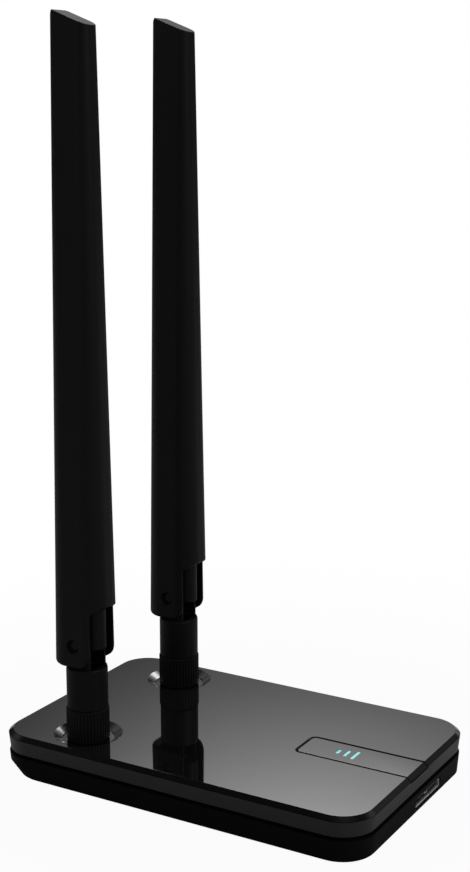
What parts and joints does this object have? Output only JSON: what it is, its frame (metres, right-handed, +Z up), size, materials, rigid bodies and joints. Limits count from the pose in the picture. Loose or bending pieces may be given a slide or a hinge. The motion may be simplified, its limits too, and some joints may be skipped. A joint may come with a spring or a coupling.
{
  "type": "usb wifi adapter",
  "caption": "Flat black desk Wi-Fi adapter with a gloss plate, a lit pairing key, a cable socket in one end and tall screw-on antennas that swivel and fold",
  "frame": {"origin": "on the table, under the middle of the case", "axes": "+X along the case towards the cable socket, -Y the long side that faces the viewer, +Z up"},
  "size_m": [0.086, 0.055, 0.1579],
  "materials": {
    "gloss_black": "mirror gloss black",
    "satin_black": "fine satin black",
    "moulded_black": "plain moulded black",
    "foot_rubber": "soft matt rubber",
    "light_bar": "clear teal light guide",
    "board_green": "green solder mask",
    "plated_steel": "bright plated steel",
    "bezel_chrome": "polished bevel",
    "gold_plated_brass": "thin gold plate",
    "insulator_white": "white insulator"
  },
  "bodies": {
    "base": {"top_plate": "gloss_black", "upper_shell": "satin_black", "bottom_shell": "satin_black", "circuit_board": "board_green", "usb_shell": "plated_steel", "usb_tongue": "moulded_black", "switch_body": "plated_steel", "status_led": "light_bar", "wifi_chip": "moulded_black", "shield_can": "plated_steel", "crystal": "plated_steel", "power_inductor": "moulded_black", "front_end_chip_front": "moulded_black", "front_end_chip_rear": "moulded_black", "antenna_bezel_front": "bezel_chrome", "antenna_bezel_rear": "bezel_chrome", "foot_left_front": "foot_rubber", "foot_left_rear": "foot_rubber", "foot_right_front": "foot_rubber", "foot_right_rear": "foot_rubber", "screw_left_front": "plated_steel", "screw_left_rear": "plated_steel", "screw_right_front": "plated_steel", "screw_right_rear": "plated_steel", "jack_barrel_front": "gold_plated_brass", "jack_insulator_front": "insulator_white", "jack_pin_front": "gold_plated_brass", "jack_barrel_rear": "gold_plated_brass", "jack_insulator_rear": "insulator_white", "jack_pin_rear": "gold_plated_brass"},
    "key": {"pairing_key": "gloss_black", "light_guide": "light_bar"},
    "plunger": {"switch_plunger": "moulded_black"},
    "plug_front": {"plug_core_front": "gold_plated_brass", "plug_insulator_front": "insulator_white", "plug_contact_front": "gold_plated_brass"},
    "nut_front": {"coupling_nut_front": "moulded_black"},
    "swivel_front": {"swivel_base_front": "satin_black"},
    "antenna_front": {"blade_front": "satin_black", "hinge_pin_front": "plated_steel", "radiator_front": "gold_plated_brass"},
    "plug_rear": {"plug_core_rear": "gold_plated_brass", "plug_insulator_rear": "insulator_white", "plug_contact_rear": "gold_plated_brass"},
    "nut_rear": {"coupling_nut_rear": "moulded_black"},
    "swivel_rear": {"swivel_base_rear": "satin_black"},
    "antenna_rear": {"blade_rear": "satin_black", "hinge_pin_rear": "plated_steel", "radiator_rear": "gold_plated_brass"}
  },
  "joints": [
    {"name": "key_press", "type": "slide", "parent": "base", "child": "key", "axis": [0, 0, -1], "range_m": [0, 0.00025], "stiffness_N_per_m": 60, "springref_m": -0.002},
    {"name": "plunger_press", "type": "slide", "parent": "base", "child": "plunger", "axis": [0, 0, -1], "range_m": [0, 0.00025]},
    {"name": "lift_front", "type": "slide", "parent": "base", "child": "plug_front", "axis": [0, 0, 1], "range_m": [0, 0.00353]},
    {"name": "nut_spin_front", "type": "hinge", "parent": "plug_front", "child": "nut_front", "pos_m": [-0.0253, -0.018, 0.01285], "axis": [0, 0, 1], "range_deg": [0, 1800]},
    {"name": "swivel_turn_front", "type": "hinge", "parent": "plug_front", "child": "swivel_front", "pos_m": [-0.0253, -0.018, 0.01985], "axis": [0, 0, 1], "range_deg": [-180, 180]},
    {"name": "fold_front", "type": "hinge", "parent": "swivel_front", "child": "antenna_front", "pos_m": [-0.0253, -0.018, 0.03052], "axis": [0, 1, 0], "range_deg": [0, 90]},
    {"name": "lift_rear", "type": "slide", "parent": "base", "child": "plug_rear", "axis": [0, 0, 1], "range_m": [0, 0.00353]},
    {"name": "nut_spin_rear", "type": "hinge", "parent": "plug_rear", "child": "nut_rear", "pos_m": [-0.0253, 0.018, 0.01285], "axis": [0, 0, 1], "range_deg": [0, 1800]},
    {"name": "swivel_turn_rear", "type": "hinge", "parent": "plug_rear", "child": "swivel_rear", "pos_m": [-0.0253, 0.018, 0.01985], "axis": [0, 0, 1], "range_deg": [-180, 180]},
    {"name": "fold_rear", "type": "hinge", "parent": "swivel_rear", "child": "antenna_rear", "pos_m": [-0.0253, 0.018, 0.03052], "axis": [0, 1, 0], "range_deg": [0, 90]}
  ],
  "couplings": [
    {"joint": "plunger_press", "follows": "key_press", "ratio": 1},
    {"joint": "nut_spin_front", "follows": "lift_front", "rad_per_m": 8905.3},
    {"joint": "nut_spin_rear", "follows": "lift_rear", "rad_per_m": 8905.3}
  ]
}
